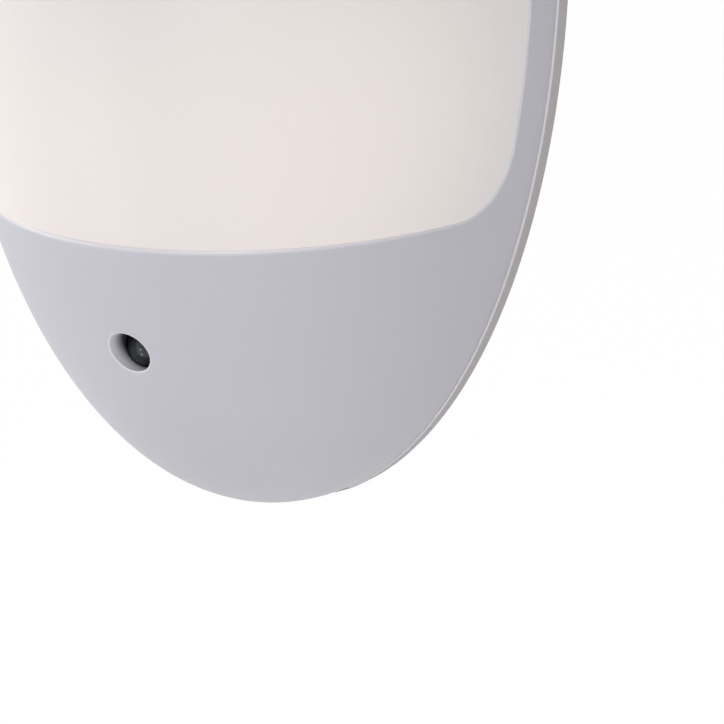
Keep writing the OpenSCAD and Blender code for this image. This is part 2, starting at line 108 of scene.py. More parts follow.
# %% [markdown]
# ## Nodes
# A material is a small graph of nodes. One function adds a node, sets its own properties and fills its
# sockets with a value or with a link from another node. Colours are written as the hex values that a
# picture editor shows, and one function turns them to the linear light that a shader needs.

# %% One helper for colours and one for nodes
def linear(code):
    """The linear colour of a hex value such as '#b9b8c0'."""
    parts = [int(code[i:i + 2], 16) / 255 for i in (1, 3, 5)]
    return tuple(c / 12.92 if c <= 0.04045 else ((c + 0.055) / 1.055) ** 2.4 for c in parts) + (1.0,)


def add(tree, kind, sockets=None, **properties):
    """Adds one node. A socket gets a value, or a link where the value is another node's output."""
    made = tree.nodes.new(kind)
    for name, value in properties.items():
        setattr(made, name, value)
    for name, value in (sockets or {}).items():
        if isinstance(value, bpy.types.NodeSocket):
            tree.links.new(value, made.inputs[name])
        else:
            made.inputs[name].default_value = value
    return made


def new_tree(name):
    """An empty material and its node tree."""
    material = bpy.data.materials.new(name)
    material.use_nodes = True
    material.node_tree.nodes.clear()
    return material, material.node_tree


print("linear of #808080:", round(linear("#808080")[0], 3))

# %% [markdown]
# ## Floor, white surroundings and studio light
# A product is photographed in a white cove with large soft lamps. The light hangs on a wall, so the
# floor lies well below it. The white that the camera sees comes from the Light Path node: rays from the
# camera and mirror rays meet white, and all others meet a dimmer world, so nothing is overexposed.

# %% Rays that show the white
def seen_rays(tree):
    """1 for rays from the camera, mirror rays and rays through glass, 0 for all others."""
    path = add(tree, "ShaderNodeLightPath")
    seen = add(tree, "ShaderNodeMath", {
        0: path.outputs["Is Camera Ray"], 1: path.outputs["Is Glossy Ray"],
    }, operation="MAXIMUM")
    return add(tree, "ShaderNodeMath", {
        0: seen.outputs[0], 1: path.outputs["Is Transmission Ray"],
    }, operation="MAXIMUM").outputs[0]


print("white is seen by: camera, mirror and glass rays")

# %% Floor
# mm below the light, and m across
FLOOR_DROP = 260.0
FLOOR_SIZE = 12.0
# how much of the floor's look is plain white, and how white; the rest is matt paper and takes the shadow
WHITE_SHARE, WHITE_STRENGTH = 0.96, 1.02
floor_mesh = bmesh.new()
bmesh.ops.create_grid(floor_mesh, x_segments=4, y_segments=4, size=FLOOR_SIZE / 2)
bmesh.ops.translate(floor_mesh, verts=floor_mesh.verts, vec=(0, 0, cad_low.z - FLOOR_DROP * MM))
floor = bpy.data.objects.new("floor", bpy.data.meshes.new("floor"))
floor_mesh.to_mesh(floor.data)
floor_mesh.free()
bpy.context.scene.collection.objects.link(floor)
floor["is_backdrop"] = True

paper, tree = new_tree("white_paper_roll")
share = add(tree, "ShaderNodeMath", {0: seen_rays(tree), 1: WHITE_SHARE}, operation="MULTIPLY")
matt = add(tree, "ShaderNodeBsdfDiffuse", {"Color": linear("#f2f2f2")})
white = add(tree, "ShaderNodeEmission", {"Color": (1, 1, 1, 1), "Strength": WHITE_STRENGTH})
both = add(tree, "ShaderNodeMixShader", {0: share.outputs[0], 1: matt.outputs[0], 2: white.outputs[0]})
add(tree, "ShaderNodeOutputMaterial", {"Surface": both.outputs[0]})
floor.data.materials.append(paper)
print("floor at z (mm):", round((cad_low.z - FLOOR_DROP * MM) / MM))

# %% World
# how bright the cove is for the rays that light the object
AMBIENT = 0.30
world = bpy.data.worlds.new("white_cove")
bpy.context.scene.world = world
world.use_nodes = True
tree = world.node_tree
tree.nodes.clear()
cove = add(tree, "ShaderNodeBackground", {"Color": (1, 1, 1, 1), "Strength": AMBIENT})
white = add(tree, "ShaderNodeBackground", {"Color": (1, 1, 1, 1), "Strength": 1.0})
both = add(tree, "ShaderNodeMixShader", {0: seen_rays(tree), 1: cove.outputs[0], 2: white.outputs[0]})
add(tree, "ShaderNodeOutputWorld", {"Surface": both.outputs[0]})
print("ambient strength:", AMBIENT)

# %% [markdown]
# Three large soft lamps light the body: the strongest from the left, one from the front and right, one
# from behind. Two small ones stand low in front, and are there for the two glints in the sensor's dome.

# %% Lamps
middle = (cad_low + cad_high) / 2
# name, direction from the light to the lamp, distance (m), size (m), power (W)
LAMPS = (
    ("key_softbox", (-0.91, -0.28, 0.31), 0.9, 0.7, 5.6),
    ("fill_softbox", (0.50, -0.82, 0.28), 0.9, 0.7, 4.9),
    ("back_softbox", (0.10, 0.90, 0.40), 0.9, 0.7, 3.2),
    ("glint_lamp_1", (-0.39, -0.81, -0.44), 0.38, 0.035, 0.03),
    ("glint_lamp_2", (-0.34, -0.65, -0.68), 0.38, 0.035, 0.03),
)
for name, direction, distance, size, power in LAMPS:
    lamp = bpy.data.lights.new(name, "AREA")
    lamp.shape, lamp.size, lamp.energy = "DISK", size, power
    holder = bpy.data.objects.new(name, lamp)
    bpy.context.scene.collection.objects.link(holder)
    aim = Vector(direction).normalized()
    holder.location = middle + aim * distance
    holder.rotation_euler = aim.to_track_quat("Z", "Y").to_euler()
    holder.visible_camera = False
bpy.context.scene.view_settings.view_transform = "Standard"
print("lamps:", [row[0] for row in LAMPS])

# %% [markdown]
# ## Moulded plastic
# Housing, cover and inner mouldings are injection-moulded plastic. The steel mould was spark-eroded, so
# the skin has a fine even grain that turns a gloss into a soft sheen, and the colour drifts a little
# along the flow of the melt. One function draws all of them from the real sizes: a grain of a quarter
# of a millimetre, drawn that coarse so that it shows, and a drift over centimetres.
# The outer shells are sprayed silver. A painted highlight makes every sharp edge pale, which is why the
# seam, the bore's lip and the cover's edge show as fine light lines. Painted shade darkens the bore towards
# its foot, after a little painted light near its mouth. A number on each point of the mesh, kept as an
# attribute,
# says this to the material: 1 is a full painted highlight, 0 the plain coat and -1 full painted shade.

# %% Moulded plastic
# the distance over which the colour drifts
DRIFT_MM = 18.0


def moulded_plastic(
    name, colour, drift, roughness, grain_mm=0.25, grain_depth_mm=0.006, edge=None, painted_shade_colour=None,
):
    """Plastic from a spark-eroded mould: a fine grain, a drifting colour, painted edge highlights and
    painted shade.
    """
    material, tree = new_tree(name)
    place = add(tree, "ShaderNodeTexCoord").outputs["Object"]
    flow = add(tree, "ShaderNodeTexNoise", {
        "Vector": place, "Scale": 1 / (DRIFT_MM * MM), "Detail": 2.0, "Roughness": 0.4,
    })
    tone = add(tree, "ShaderNodeMix", {
        0: flow.outputs["Fac"], 6: linear(colour), 7: linear(drift),
    }, data_type="RGBA")
    # the colour given as edge is a painted highlight and the last colour a painted shade; the attribute
    # mixes them in
    if edge:
        painted_light_and_shade = add(tree, "ShaderNodeAttribute", attribute_name="painted_light_and_shade").outputs["Fac"]
        painted_shade = add(tree, "ShaderNodeMath", {0: painted_light_and_shade, 1: -1.0}, operation="MULTIPLY").outputs[0]
        for amount, painted_tone in ((painted_light_and_shade, edge), (painted_shade, painted_shade_colour)):
            tone = add(tree, "ShaderNodeMix", {
                0: amount, 6: tone.outputs[2], 7: linear(painted_tone),
            }, data_type="RGBA")
    grain = add(tree, "ShaderNodeTexNoise", {
        "Vector": place, "Scale": 1 / (grain_mm * MM), "Detail": 3.0, "Roughness": 0.6,
    })
    sheen = add(tree, "ShaderNodeMapRange", {
        "Value": grain.outputs["Fac"], "From Min": 0.3, "From Max": 0.7,
        "To Min": roughness - 0.05, "To Max": roughness + 0.05,
    })
    relief = add(tree, "ShaderNodeBump", {
        "Height": grain.outputs["Fac"], "Distance": grain_depth_mm * MM, "Strength": 0.6,
    })
    skin = add(tree, "ShaderNodeBsdfPrincipled", {
        "Base Color": tone.outputs[2], "Roughness": sheen.outputs[0],
        "Normal": relief.outputs[0], "IOR": 1.53,
    })
    add(tree, "ShaderNodeOutputMaterial", {"Surface": skin.outputs[0]})
    return material


# silver-coated ABS: silver-grey with a lilac tint, a satin sheen and no clear mirror image
# the pale colour is a painted highlight on the edges, the dark one painted shade down the bore
silver_abs = moulded_plastic(
    "silver_coated_satin_abs", "#b9b8c0", "#bebdc5", 0.46, edge="#f4f3f6", painted_shade_colour="#413f4e",
)
# the back cover is the same ABS from another mould, a little warmer and duller
# here too the pale colour is a painted highlight on the edges, the dark one painted shade
cover_abs = moulded_plastic(
    "warm_grey_coated_abs", "#aba5a9", "#b0abae", 0.55, edge="#f1f0f4", painted_shade_colour="#4a4950",
)
# glass-filled PBT round the blades, off-white and dull
holder_pbt = moulded_plastic(
    "off_white_glass_filled_pbt", "#d9d6cf", "#dedbd5", 0.6, grain_mm=0.4, grain_depth_mm=0.012,
)
# reflector-grade polypropylene, bright white so that it throws the light forwards
white_pp = moulded_plastic("white_reflector_polypropylene", "#efeeea", "#f4f3ef", 0.5)
print("plastics:", [m.name for m in (silver_abs, cover_abs, holder_pbt, white_pp)])

# %% [markdown]
# ## Opal lens
# The lens is opal polycarbonate, a clear plastic filled with a white pigment that spreads the light of
# the lamps behind it. Switched on in a bright room it looks like warm white porcelain with a broad glow
# low in its middle, where the lamps are. True light through the wall would be slow and grainy, so the
# glow is an emission that falls off with the distance from the row of lamps, farther to the sides than
# up and down. It is fixed to the lens, so it is the same from wherever the light is looked at.

# %% Opal polycarbonate
# the glow's middle and its reach each way (mm), and the shares of the reach where it starts to fade and ends
GLOW_CENTRE = Vector((0.0, -26.8, 2.5)) * MM
GLOW_REACH = Vector((77.0, 24.5, 30.0)) * MM
GLOW_FULL, GLOW_GONE = 0.25, 1.0
GLOW_STRENGTH = 0.5
# the pigment's clouding, and the fine orange-peel of the moulded skin, drawn coarse enough to show
CLOUD_MM, PEEL_MM = 22.0, 0.5
opal_pc, tree = new_tree("opal_polycarbonate_lit_from_inside")
place = add(tree, "ShaderNodeTexCoord").outputs["Object"]
from_lamps = add(tree, "ShaderNodeMapping", {
    "Vector": place,
    "Location": tuple(-c / r for c, r in zip(GLOW_CENTRE, GLOW_REACH)),
    "Scale": tuple(1 / r for r in GLOW_REACH),
})
distance = add(tree, "ShaderNodeVectorMath", {0: from_lamps.outputs[0]}, operation="LENGTH")
fade = add(tree, "ShaderNodeMapRange", {
    "Value": distance.outputs["Value"],
    "From Min": GLOW_FULL, "From Max": GLOW_GONE, "To Min": 1.0, "To Max": 0.0,
}, interpolation_type="SMOOTHSTEP")
cloud = add(tree, "ShaderNodeTexNoise", {"Vector": place, "Scale": 1 / (CLOUD_MM * MM), "Detail": 2.0})
body_tone = add(tree, "ShaderNodeMix", {
    0: cloud.outputs["Fac"], 6: linear("#a9a5a6"), 7: linear("#adaaab"),
}, data_type="RGBA")
glow_tone = add(tree, "ShaderNodeValToRGB", {"Fac": fade.outputs[0]})
glow_tone.color_ramp.elements[0].color = linear("#c0bbba")
glow_tone.color_ramp.elements[1].color = linear("#e5d7cb")
peel = add(tree, "ShaderNodeTexNoise", {"Vector": place, "Scale": 1 / (PEEL_MM * MM), "Detail": 2.0})
gloss = add(tree, "ShaderNodeMapRange", {"Value": peel.outputs["Fac"], "To Min": 0.34, "To Max": 0.44})
relief = add(tree, "ShaderNodeBump", {
    "Height": peel.outputs["Fac"], "Distance": 0.004 * MM, "Strength": 0.5,
})
skin = add(tree, "ShaderNodeBsdfPrincipled", {
    "Base Color": body_tone.outputs[2], "Roughness": gloss.outputs[0],
    "Normal": relief.outputs[0], "IOR": 1.58,
    "Emission Color": glow_tone.outputs[0], "Emission Strength": GLOW_STRENGTH,
})
add(tree, "ShaderNodeOutputMaterial", {"Surface": skin.outputs[0]})
print("glow centre (mm):", [round(c / MM) for c in GLOW_CENTRE])

# %% [markdown]
# ## The shape that the shells share
# Housing and lens are parts of one ellipsoid, so both take their places from the same three functions.
# A direction from the ellipsoid's middle, written as right, out and up, gives a point on its skin, or on
# a skin drawn in by a wall. A flat map of the directions, like a map of the sky, makes it easy to walk
# in even steps from one curve on the skin to another.

# %% Body sizes and skin
# these follow the CAD source, in mm: half the body's width and height, the dome's depth before the cover
HALF_W, HALF_H, DOME_DEPTH = 30.0, 60.0, 38.69
# the cover's thickness, how far it stands out from the body, and the height of the oval's middle
COVER_T, COVER_PROUD = 2.2, 0.24
OVAL_Z = 20.0
# the wall's thickness, and how much of it is left in front of the lens's flange
WALL, SKIN = 2.2, 1.1
# the seam's height in the chin, how far out it lies from the house wall at the sides, its corner's radius
SEAM_Z, SEAM_OUT, SEAM_CORNER = -7.1, 7.2, 6.0
# how far the lens's flange goes under the housing, and the gap that shows once the lens is pressed home
FLANGE, LENS_GAP = 1.8, 0.03


def on_skin(direction, inset=0.0):
    """A point (mm) of the body's skin, or of the skin drawn in by an inset."""
    right, out, up = direction
    return Vector((
        (HALF_W - inset) * right,
        -COVER_T - (DOME_DEPTH - inset) * out,
        OVAL_Z + (HALF_H - inset) * up,
    ))


def direction_of(point, inset=0.0):
    """The direction from the body's middle to a point (mm) of the skin, or of the skin drawn in."""
    return Vector((
        point.x / (HALF_W - inset), -(point.y + COVER_T) / (DOME_DEPTH - inset),
        (point.z - OVAL_Z) / (HALF_H - inset),
    )).normalized()


def to_map(direction):
    """The flat map: how far a direction turns from straight ahead, and to which side."""
    side = Vector((direction[0], direction[2]))
    return side.normalized() * math.acos(max(-1.0, min(1.0, direction[1])))


def from_map(place):
    """The direction of a place on the flat map."""
    turn = place.length
    side = place.normalized() if turn else Vector((0, 0))
    return Vector((side.x * math.sin(turn), math.cos(turn), side.y * math.sin(turn)))


print("apex (mm):", [round(c, 2) for c in on_skin((0, 1, 0))])

# %% [markdown]
# ## The seam
# The lens ends along a plane parallel to the wall, turns a round corner and ends below along a level
# plane. On the skin that makes one closed line. It is walked densely from the top to the bottom, cut
# into even steps, and mirrored, so that every ring of every shell has the same number of points.

# %% Points along the seam
# points on each ring, and fine steps along each of the half seam's three stretches
AROUND = 384
FINE = 400
half_seam = []
top_turn = math.acos((SEAM_OUT - COVER_T) / DOME_DEPTH)
corner_start = math.asin((SEAM_Z + SEAM_CORNER - OVAL_Z) / HALF_H / math.sin(top_turn))
for step in range(FINE):
    angle = math.pi / 2 + (corner_start - math.pi / 2) * step / FINE
    half_seam.append(Vector((
        math.sin(top_turn) * math.cos(angle), math.cos(top_turn), math.sin(top_turn) * math.sin(angle),
    )))
for step in range(FINE):
    angle = math.pi / 2 * step / FINE
    out = (SEAM_OUT + SEAM_CORNER * (1 - math.cos(angle)) - COVER_T) / DOME_DEPTH
    up = (SEAM_Z + SEAM_CORNER * (1 - math.sin(angle)) - OVAL_Z) / HALF_H
    half_seam.append(Vector((math.sqrt(1 - out * out - up * up), out, up)))
up = (SEAM_Z - OVAL_Z) / HALF_H
level = math.sqrt(1 - up * up)
out = (SEAM_OUT + SEAM_CORNER - COVER_T) / DOME_DEPTH
level_turn = math.asin(out / level)
for step in range(FINE + 1):
    angle = level_turn + (math.pi / 2 - level_turn) * step / FINE
    half_seam.append(Vector((level * math.cos(angle), level * math.sin(angle), up)))
print("half of the seam:", len(half_seam), "fine points")

# %% Even steps along the seam
lengths = [0.0]
for a, b in zip(half_seam, half_seam[1:]):
    lengths.append(lengths[-1] + (on_skin(b) - on_skin(a)).length)
# the seam's directions, and how far each is along the way from the corner to the bottom
seam, low_share = [], []
spot = 0
for number in range(AROUND // 2 + 1):
    goal = lengths[-1] * number / (AROUND // 2)
    while spot < len(lengths) - 2 and lengths[spot + 1] < goal:
        spot += 1
    share = (goal - lengths[spot]) / (lengths[spot + 1] - lengths[spot])
    seam.append(half_seam[spot].lerp(half_seam[spot + 1], share).normalized())
    low_share.append(max(0.0, (goal - lengths[FINE]) / (lengths[-1] - lengths[FINE])))
seam += [Vector((-d.x, d.y, d.z)) for d in reversed(seam[1:-1])]
low_share += list(reversed(low_share[1:-1]))
print("seam:", len(seam), "points,", round(2 * lengths[-1] / AROUND, 2), "mm apart")

# %% [markdown]
# From each point of the seam one path runs outwards to the rim at the back cover, and one runs inwards
# to the middle of the lens. A place is then a number of millimetres along its path, so that edge
# radii, gaps and flanges can be given in their real sizes.

# %% Paths across the shells
# the middle of the lens on the flat map: straight ahead and some way up
LENS_MIDDLE = Vector((0.0, math.radians(26)))
seam_map = [to_map(d) for d in seam]
rim_map = []
for number, direction in enumerate(seam):
    side = 1 if number <= AROUND // 2 else -1
    angle = math.atan2(direction.z, abs(direction.x))
    if low_share[number] > 0:
        angle = corner_start + (-math.pi / 2 - corner_start) * low_share[number]
    rim_map.append(Vector((side * math.cos(angle), math.sin(angle))) * math.pi / 2)


def path_length(start, end, steps=24):
    """The length (mm) of a path over the skin, straight on the map."""
    points = [on_skin(from_map(start.lerp(end, s / steps))) for s in range(steps + 1)]
    return sum((b - a).length for a, b in zip(points, points[1:]))


out_length = [path_length(seam_map[n], rim_map[n]) for n in range(AROUND)]
in_length = [path_length(seam_map[n], LENS_MIDDLE) for n in range(AROUND)]


def off_seam(number, mm, inset=0.0):
    """A point some mm off the seam: outwards over the housing, or inwards over the lens if negative."""
    if mm >= 0:
        place = seam_map[number].lerp(rim_map[number], mm / out_length[number])
    else:
        place = seam_map[number].lerp(LENS_MIDDLE, -mm / in_length[number])
    return on_skin(from_map(place), inset)


print("housing path (mm): top", round(out_length[0], 2), "bottom", round(out_length[AROUND // 2], 2))

# %% [markdown]
# ## Shells from rings
# A shell is drawn as a plasterer draws a moulding: one closed ring of edges is extruded again and
# again, and each new ring is set in its place. Because the ring's points keep their numbers, the mesh
# stays regular right up to the finest edge. bmesh does this with create_circle and extrude_edge_only.

# %% Rings
# points closer than this are merged, in m
SAME_SPOT = 0.0004 * MM


def start_ring():
    """A bmesh with one ring, whose points carry their number and their ring."""
    bm = bmesh.new()
    number = bm.verts.layers.int.new("number")
    bm.verts.layers.int.new("ring")
    bm.verts.layers.float.new("painted_light_and_shade")
    bmesh.ops.create_circle(bm, segments=AROUND, radius=1.0)
    for count, vert in enumerate(bm.verts):
        vert[number] = count
    return bm, list(bm.verts), list(bm.edges)


def next_ring(bm, edges):
    """Extrudes a ring of edges and returns the new points and edges."""
    made = bmesh.ops.extrude_edge_only(bm, edges=edges)["geom"]
    verts = [g for g in made if isinstance(g, bmesh.types.BMVert)]
    return verts, [g for g in made if isinstance(g, bmesh.types.BMEdge)]


def shell(places, closed=True, painted_light_and_shade_rings=None):
    """A shell through rings: each place gives a point (mm) from its number. A closed one joins its ends."""
    bm, verts, edges = start_ring()
    number, ring = bm.verts.layers.int["number"], bm.verts.layers.int["ring"]
    painted_light_and_shade = bm.verts.layers.float["painted_light_and_shade"]
    rings_in_all = len(places)
    if closed:
        places = places + places[:1]
    for count, place in enumerate(places):
        if count:
            verts, edges = next_ring(bm, edges)
        for vert in verts:
            vert[ring] = count
            vert[painted_light_and_shade] = (painted_light_and_shade_rings or {}).get(count % rings_in_all, 0.0)
            vert.co = place(vert[number]) * MM
    bmesh.ops.remove_doubles(bm, verts=bm.verts, dist=SAME_SPOT)
    return bm


def rounding(radius, steps=4):
    """Pairs (across, down) round an edge, from its top face to its side, in mm from its corner."""
    return [(radius * (1 - math.sin(turn)), radius * (1 - math.cos(turn)))
            for turn in (math.pi / 2 * step / steps for step in range(steps + 1))]


print("rounding of 1 mm:", [(round(a, 2), round(b, 2)) for a, b in rounding(1.0, 2)])

# %% [markdown]
# Every new piece is finished alike: its faces are turned outwards and shaded smooth, its sharp edges are
# marked, and it gets its finish and the body that it rides on, while the CAD node it stands for is hidden.

# %% Finished pieces
# an edge whose faces turn by more than this is shaded as a sharp one
SHARP = math.radians(38)


def finish_piece(bm, name, material, replaced):
    """Turns a bmesh into an object of the scene that rides on the part and stands for a CAD node."""
    bmesh.ops.recalc_face_normals(bm, faces=bm.faces)
    for face in bm.faces:
        face.smooth = True
    for edge in bm.edges:
        edge.smooth = not (edge.is_manifold and edge.calc_face_angle(0) > SHARP)
    piece = bpy.data.objects.new(name, bpy.data.meshes.new(name))
    bm.to_mesh(piece.data)
    open_edges = sum(1 for e in bm.edges if not e.is_manifold)
    triangles = sum(len(f.verts) - 2 for f in bm.faces)
    bm.free()
    piece.data.materials.append(material)
    bpy.context.scene.collection.objects.link(piece)
    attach(piece, "root")
    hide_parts(replaced)
    print(f"{name}: {triangles} triangles, {open_edges} open edges")


print("sharp from (degrees):", round(math.degrees(SHARP)))

# %% [markdown]
# ## Lens
# The lens is one injection-moulded shell 2.2 mm thick. Its edge is stepped: a thin flange slips under
# the housing and holds it, and the face in front of the flange comes up flush. The visible edge has a
# small radius, which with the housing's own radius and the painted highlight on it makes the fine line round
# the opening.

# %% Lens
# the radius of the visible edge (mm), and the rings from there to the middle
LENS_EDGE_R = 0.14
LENS_RINGS = 44
# above 1, the rings crowd towards the lens's edge; the back has a ring for every third one in front
LENS_CROWD, BACK_STEP = 1.15, 3
lens_rings = []


def lens_place(step, inset):
    """A ring some steps of the way from the lens's edge to its middle."""
    edge, share = LENS_GAP + LENS_EDGE_R, (step / LENS_RINGS) ** LENS_CROWD
    return lambda n: off_seam(n, -(edge + (in_length[n] - edge) * share), inset)


for step in range(LENS_RINGS, 0, -1):
    lens_rings.append(lens_place(step, 0.0))
for across, down in rounding(LENS_EDGE_R):
    lens_rings.append(lambda n, a=across, d=down: off_seam(n, -LENS_GAP - a, d))
lens_rings.append(lambda n: off_seam(n, -LENS_GAP, SKIN + LENS_GAP))
lens_rings.append(lambda n: off_seam(n, FLANGE, SKIN + LENS_GAP))
lens_rings.append(lambda n: off_seam(n, FLANGE, WALL))
lens_rings.append(lambda n: off_seam(n, -LENS_GAP, WALL))
for step in range(2, LENS_RINGS + 1, BACK_STEP):
    lens_rings.append(lens_place(step, WALL))
finish_piece(shell(lens_rings, closed=False), "opal_lens", opal_pc, "lens")

# %% [markdown]
# ## Front housing
# The housing is one moulding too: a 2.2 mm wall, a step on its inside that the lens's flange sits in,
# and a radius along the opening with a painted highlight on it, that shows as a fine bright line.
# rings round the lens: narrow beside and above it, tall below, where it makes the chin.

# %% Rings of the front housing
# the radius at the opening and at the rim (mm)
SEAM_R, RIM_R = 0.45, 0.05
# how strong the painted highlight is at the opening's sharpest edge; it fades over the radius
SEAM_HIGHLIGHT = 0.7
HOUSING_RINGS = 52
STEP_MM = FLANGE + LENS_GAP


def chin_place(share, inset, start):
    """A ring at a share of the way from a start (mm off the seam) to the rim."""
    return lambda n: off_seam(n, start + (out_length[n] - start) * share, inset)


def rim_place(inset, up):
    """A ring at the rim, some mm in from the skin and some mm above the back cover."""
    def place(n):
        point = on_skin(from_map(rim_map[n]), inset)
        return Vector((point.x, -COVER_T - up, point.z))
    return place


housing_rings = [
    lambda n, a=across, d=down: off_seam(n, a, d) for across, down in reversed(rounding(SEAM_R))
]
outer_start = len(housing_rings) - 1
housing_rings += [chin_place(step / HOUSING_RINGS, 0.0, SEAM_R) for step in range(1, HOUSING_RINGS)]
housing_rings += [rim_place(across, down) for across, down in reversed(rounding(RIM_R, 2))]
inner_start = len(housing_rings)
housing_rings += [rim_place(WALL, 0.0)]
housing_rings += [
    chin_place(step / HOUSING_RINGS, WALL, STEP_MM) for step in range(HOUSING_RINGS - 1, -1, -1)
]
housing_rings += [lambda n: off_seam(n, STEP_MM, SKIN), lambda n: off_seam(n, 0.0, SKIN)]
# the seam's radius gets a painted highlight, strongest at the opening and fading over the radius
housing_mesh = shell(housing_rings, painted_light_and_shade_rings={
    count: SEAM_HIGHLIGHT * (1 - count / outer_start) for count in range(outer_start)
})
print("housing rings:", len(housing_rings))

# %% [markdown]
# The sensor's bore goes through the chin. A block of faces is taken out on the outside and another on
# the inside. The outer hole's edge is extruded ring by ring: on to the round lip, over its radius, down
# the bore, round the shroud that holds the sensor, and out to the inner hole, where the two ends merge.

# %% Two blocks of faces taken out
# the sensor's height, and the width of the bore, of the shroud's inside and of the shroud (mm)
SENSOR_Z, BORE, SHROUD_BORE, SHROUD = -18.8, 4.2, 5.4, 7.8
# a block reaches this many faces each way from the bore's axis
BLOCK = 6
bottom = AROUND // 2
number, ring = housing_mesh.verts.layers.int["number"], housing_mesh.verts.layers.int["ring"]
painted_light_and_shade = housing_mesh.verts.layers.float["painted_light_and_shade"]


def nearest_ring(first, last):
    """The ring whose lowest column passes closest to the bore's axis."""
    return min(range(first, last), key=lambda r: abs(housing_rings[r](bottom).z - SENSOR_Z))


outer_ring = nearest_ring(outer_start, inner_start - 2)
inner_ring = nearest_ring(inner_start, len(housing_rings) - 2)


def in_block(vert, centre):
    """Whether a point belongs to the block round a ring."""
    return abs(vert[ring] - centre) <= BLOCK and abs(vert[number] - bottom) <= BLOCK


inner_edge = {
    (vert[number], inner_ring - vert[ring]): vert.co / MM
    for vert in housing_mesh.verts if in_block(vert, inner_ring)
}
for centre in (outer_ring, inner_ring):
    block = [f for f in housing_mesh.faces if all(in_block(v, centre) for v in f.verts)]
    bmesh.ops.delete(housing_mesh, geom=block, context="FACES")
edges = [e for e in housing_mesh.edges if e.is_boundary and all(in_block(v, outer_ring) for v in e.verts)]
print("rings at the bore:", outer_ring, inner_ring, "edges round the outer hole:", len(edges))


# %% Places round the bore
def turn_of(vert):
    """A point's place round the bore, kept from the block's edge."""
    home = housing_rings[vert[ring]](vert[number])
    return math.atan2(home.z - SENSOR_Z, home.x)


def bore_point(vert, radius, out):
    """A point on a circle round the bore's axis, at a distance out from the wall."""
    turn = turn_of(vert)
    return Vector((radius * math.cos(turn), -out, SENSOR_Z + radius * math.sin(turn)))


def skin_out(point, inset=0.0):
    """How far out the skin lies in front of a point."""
    across = (point.x / (HALF_W - inset)) ** 2 + ((point.z - OVAL_Z) / (HALF_H - inset)) ** 2
    return COVER_T + (DOME_DEPTH - inset) * math.sqrt(1 - across)


def on_bore(radius, inset, down=0.0):
    """A ring round the bore that follows the slope of the skin."""
    def place(vert):
        point = bore_point(vert, radius, 0.0)
        return Vector((point.x, -skin_out(point, inset) + down, point.z))
    return place


def blend_to(goal, share, inset):
    """A ring part of the way to a goal, laid back on the skin."""
    def place(vert):
        return on_skin(direction_of((vert.co / MM).lerp(goal(vert), share), inset), inset)
    return place


def inner_goal(vert):
    """The point of the inner hole's edge that a point of the outer hole's edge ends at."""
    return inner_edge[(vert[number], vert[ring] - outer_ring)]


print("the skin at the bore lies out (mm):", round(skin_out(Vector((0, 0, SENSOR_Z))), 2))

# %% [markdown]
# Each ring has its place and a number for the light and shade painted on it: a painted highlight on the lip,
# painted light near the bore's mouth and painted shade further down.

# %% Rings of the bore and the shroud
# the lip's radius (mm), the strength of its painted highlight, and how many rings lead from the square hole
# to the round one
LIP_R, LIP_HIGHLIGHT, BLEND = 0.2, 0.35, 6
# light and shade painted down the bore: depth below the skin (mm), and the painted light (above 0) and
# painted shade (below 0) there
BORE_LIGHT_AND_SHADE = ((0.3, 0.6), (0.9, 0.5), (1.6, -0.1), (2.5, -1.0))
# how far out from the wall the bore and the shroud end (mm)
BORE_FOOT, SHROUD_FOOT = 28.78, 23.12
lip_goal = on_bore(BORE / 2 + LIP_R, 0.0)
bore_rings = [(blend_to(lip_goal, 1 / (BLEND - step), 0.0), 0.0) for step in range(BLEND)]
bore_rings += [(on_bore(BORE / 2 + across, 0.0, down), LIP_HIGHLIGHT) for across, down in rounding(LIP_R)[1:]]
bore_rings += [(on_bore(BORE / 2, 0.0, depth), amount) for depth, amount in BORE_LIGHT_AND_SHADE]
# the bore's foot and the shroud get full painted shade
bore_rings += [(lambda v, r=r, out=out: bore_point(v, r, out), -1.0) for r, out in (
    (BORE / 2, BORE_FOOT), (SHROUD_BORE / 2, BORE_FOOT),
    (SHROUD_BORE / 2, SHROUD_FOOT), (SHROUD / 2, SHROUD_FOOT),
)]
bore_rings += [(on_bore(SHROUD / 2, WALL), 0.0)]
bore_rings += [(blend_to(inner_goal, 1 / (BLEND - step), WALL), 0.0) for step in range(BLEND - 1)]
bore_rings += [(inner_goal, 0.0)]
for place, amount in bore_rings:
    verts, edges = next_ring(housing_mesh, edges)
    for vert in verts:
        vert.co = place(vert) * MM
        vert[painted_light_and_shade] = amount
bmesh.ops.remove_doubles(housing_mesh, verts=housing_mesh.verts, dist=SAME_SPOT)
print("rings of the bore:", len(bore_rings), "points round it:", len(verts))

# %% [markdown]
# Inside the rim five short ledges stand in from the wall, and the cover's hooks snap over them. A ring
# with a square section follows the wall all round, and three cuts leave one ledge of it: one on each
# side and one behind.

# %% Cuts and joins
# a point this close to a cut counts as on it, in m
ON_PLANE = 0.0001 * MM


def cut_off(bm, spot, towards):
    """Cuts closed shapes along a plane through a spot (mm), drops what is beyond it and closes the cut."""
    cut = bmesh.ops.bisect_plane(
        bm, geom=bm.verts[:] + bm.edges[:] + bm.faces[:], dist=ON_PLANE,
        plane_co=Vector(spot) * MM, plane_no=towards, clear_outer=True,
    )["geom_cut"]
    rim = [g for g in cut if isinstance(g, bmesh.types.BMEdge)]
    if rim:
        bmesh.ops.triangle_fill(bm, use_beauty=True, edges=rim)
    return {v for e in rim for v in e.verts}


def join(bm, other):
    """Adds the shapes of another bmesh, which is then done with."""
    passing = bpy.data.meshes.new("passing")
    other.to_mesh(passing)
    other.free()
    bm.from_mesh(passing)
    bpy.data.meshes.remove(passing)


print("a cut takes in points closer than (mm):", ON_PLANE / MM)

